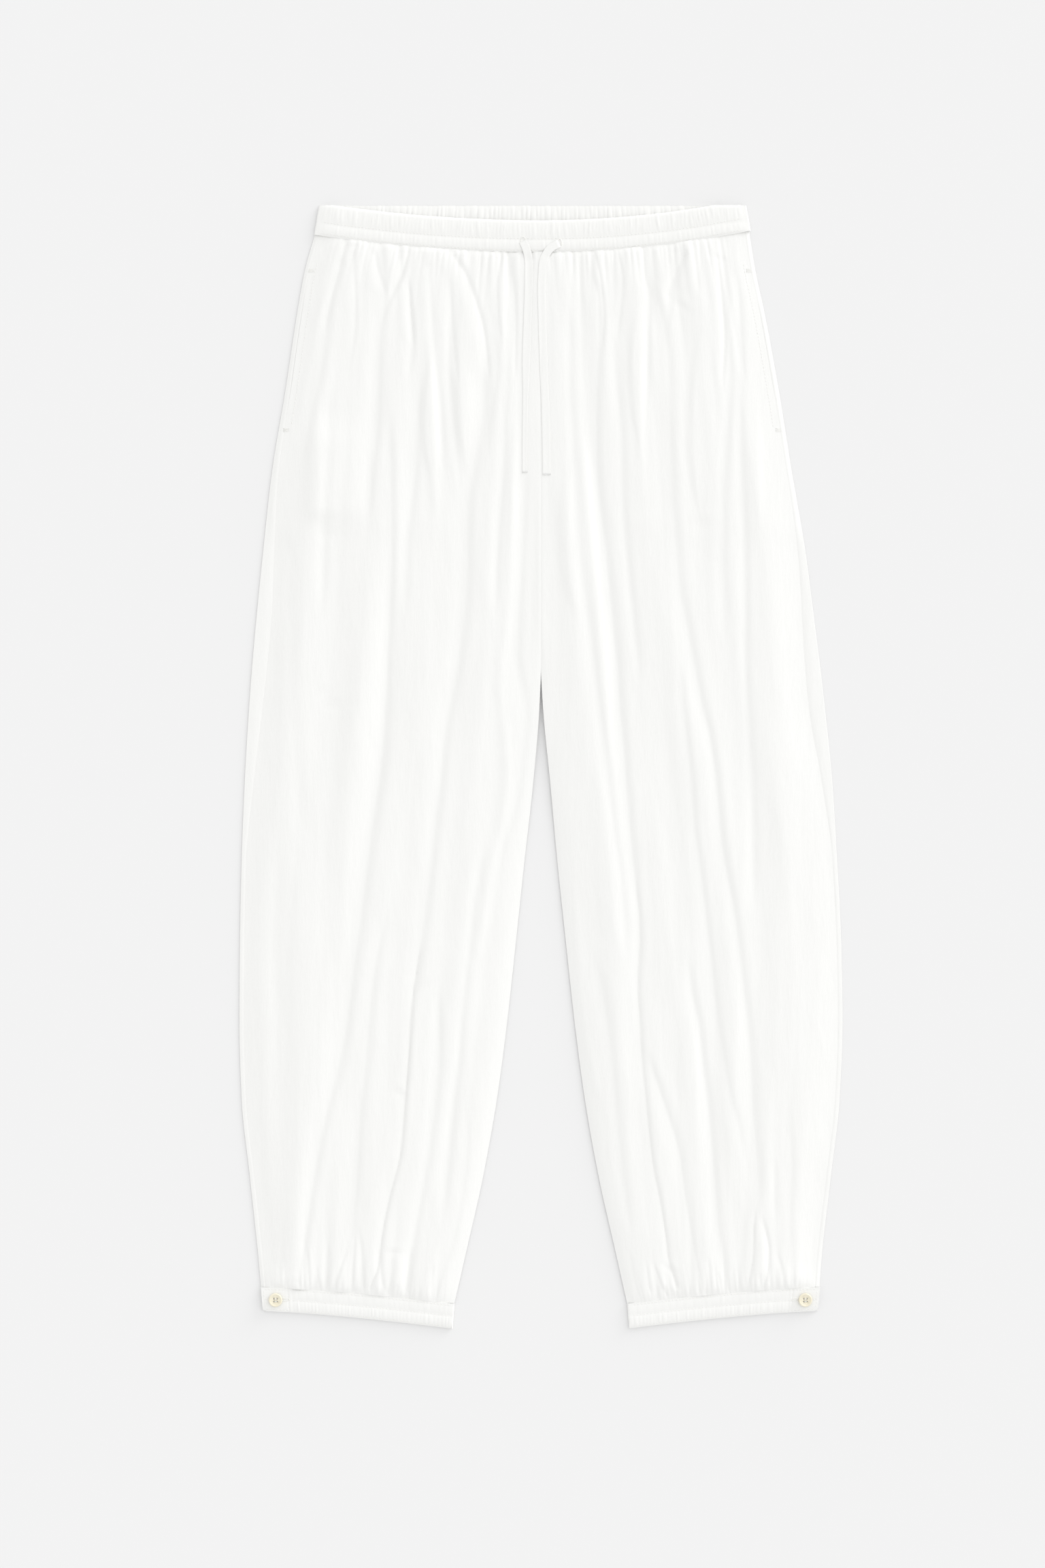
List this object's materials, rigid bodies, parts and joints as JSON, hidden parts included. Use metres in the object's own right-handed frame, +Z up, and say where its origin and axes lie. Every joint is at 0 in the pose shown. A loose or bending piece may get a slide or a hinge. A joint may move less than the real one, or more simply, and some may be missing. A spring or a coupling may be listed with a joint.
{
  "type": "balloon pants",
  "caption": "White cotton balloon pants laid flat: gathered elastic waistband with flat drawstring ends, seam pockets, wide curved legs and gathered buttoned cuffs.",
  "frame": {"origin": "middle of the garment's box, on the surface that it lies on", "axes": "+Y from the cuffs to the waistband, +Z up through the front of the garment, +X to the picture's right"},
  "size_m": [0.5227, 0.9729, 0.008],
  "materials": {
    "cotton": "matt plain weave, light crumple",
    "pocketing": "matt plain weave",
    "waistband": "matt plain weave, ribbed by elastic",
    "cuff": "matt plain weave, topstitched",
    "button": "cream, satin",
    "drawstring": "matt folded cotton tie"
  },
  "bodies": {
    "root": {"front_left": "cotton", "front_right": "cotton", "back_left": "cotton", "back_right": "cotton", "pocket_bag_left": "pocketing", "pocket_bag_right": "pocketing", "waistband": "waistband", "cuff_left": "cuff", "cuff_right": "cuff", "button_left": "button", "button_right": "button", "tie_left": "drawstring", "tie_right": "drawstring"}
  },
  "joints": []
}
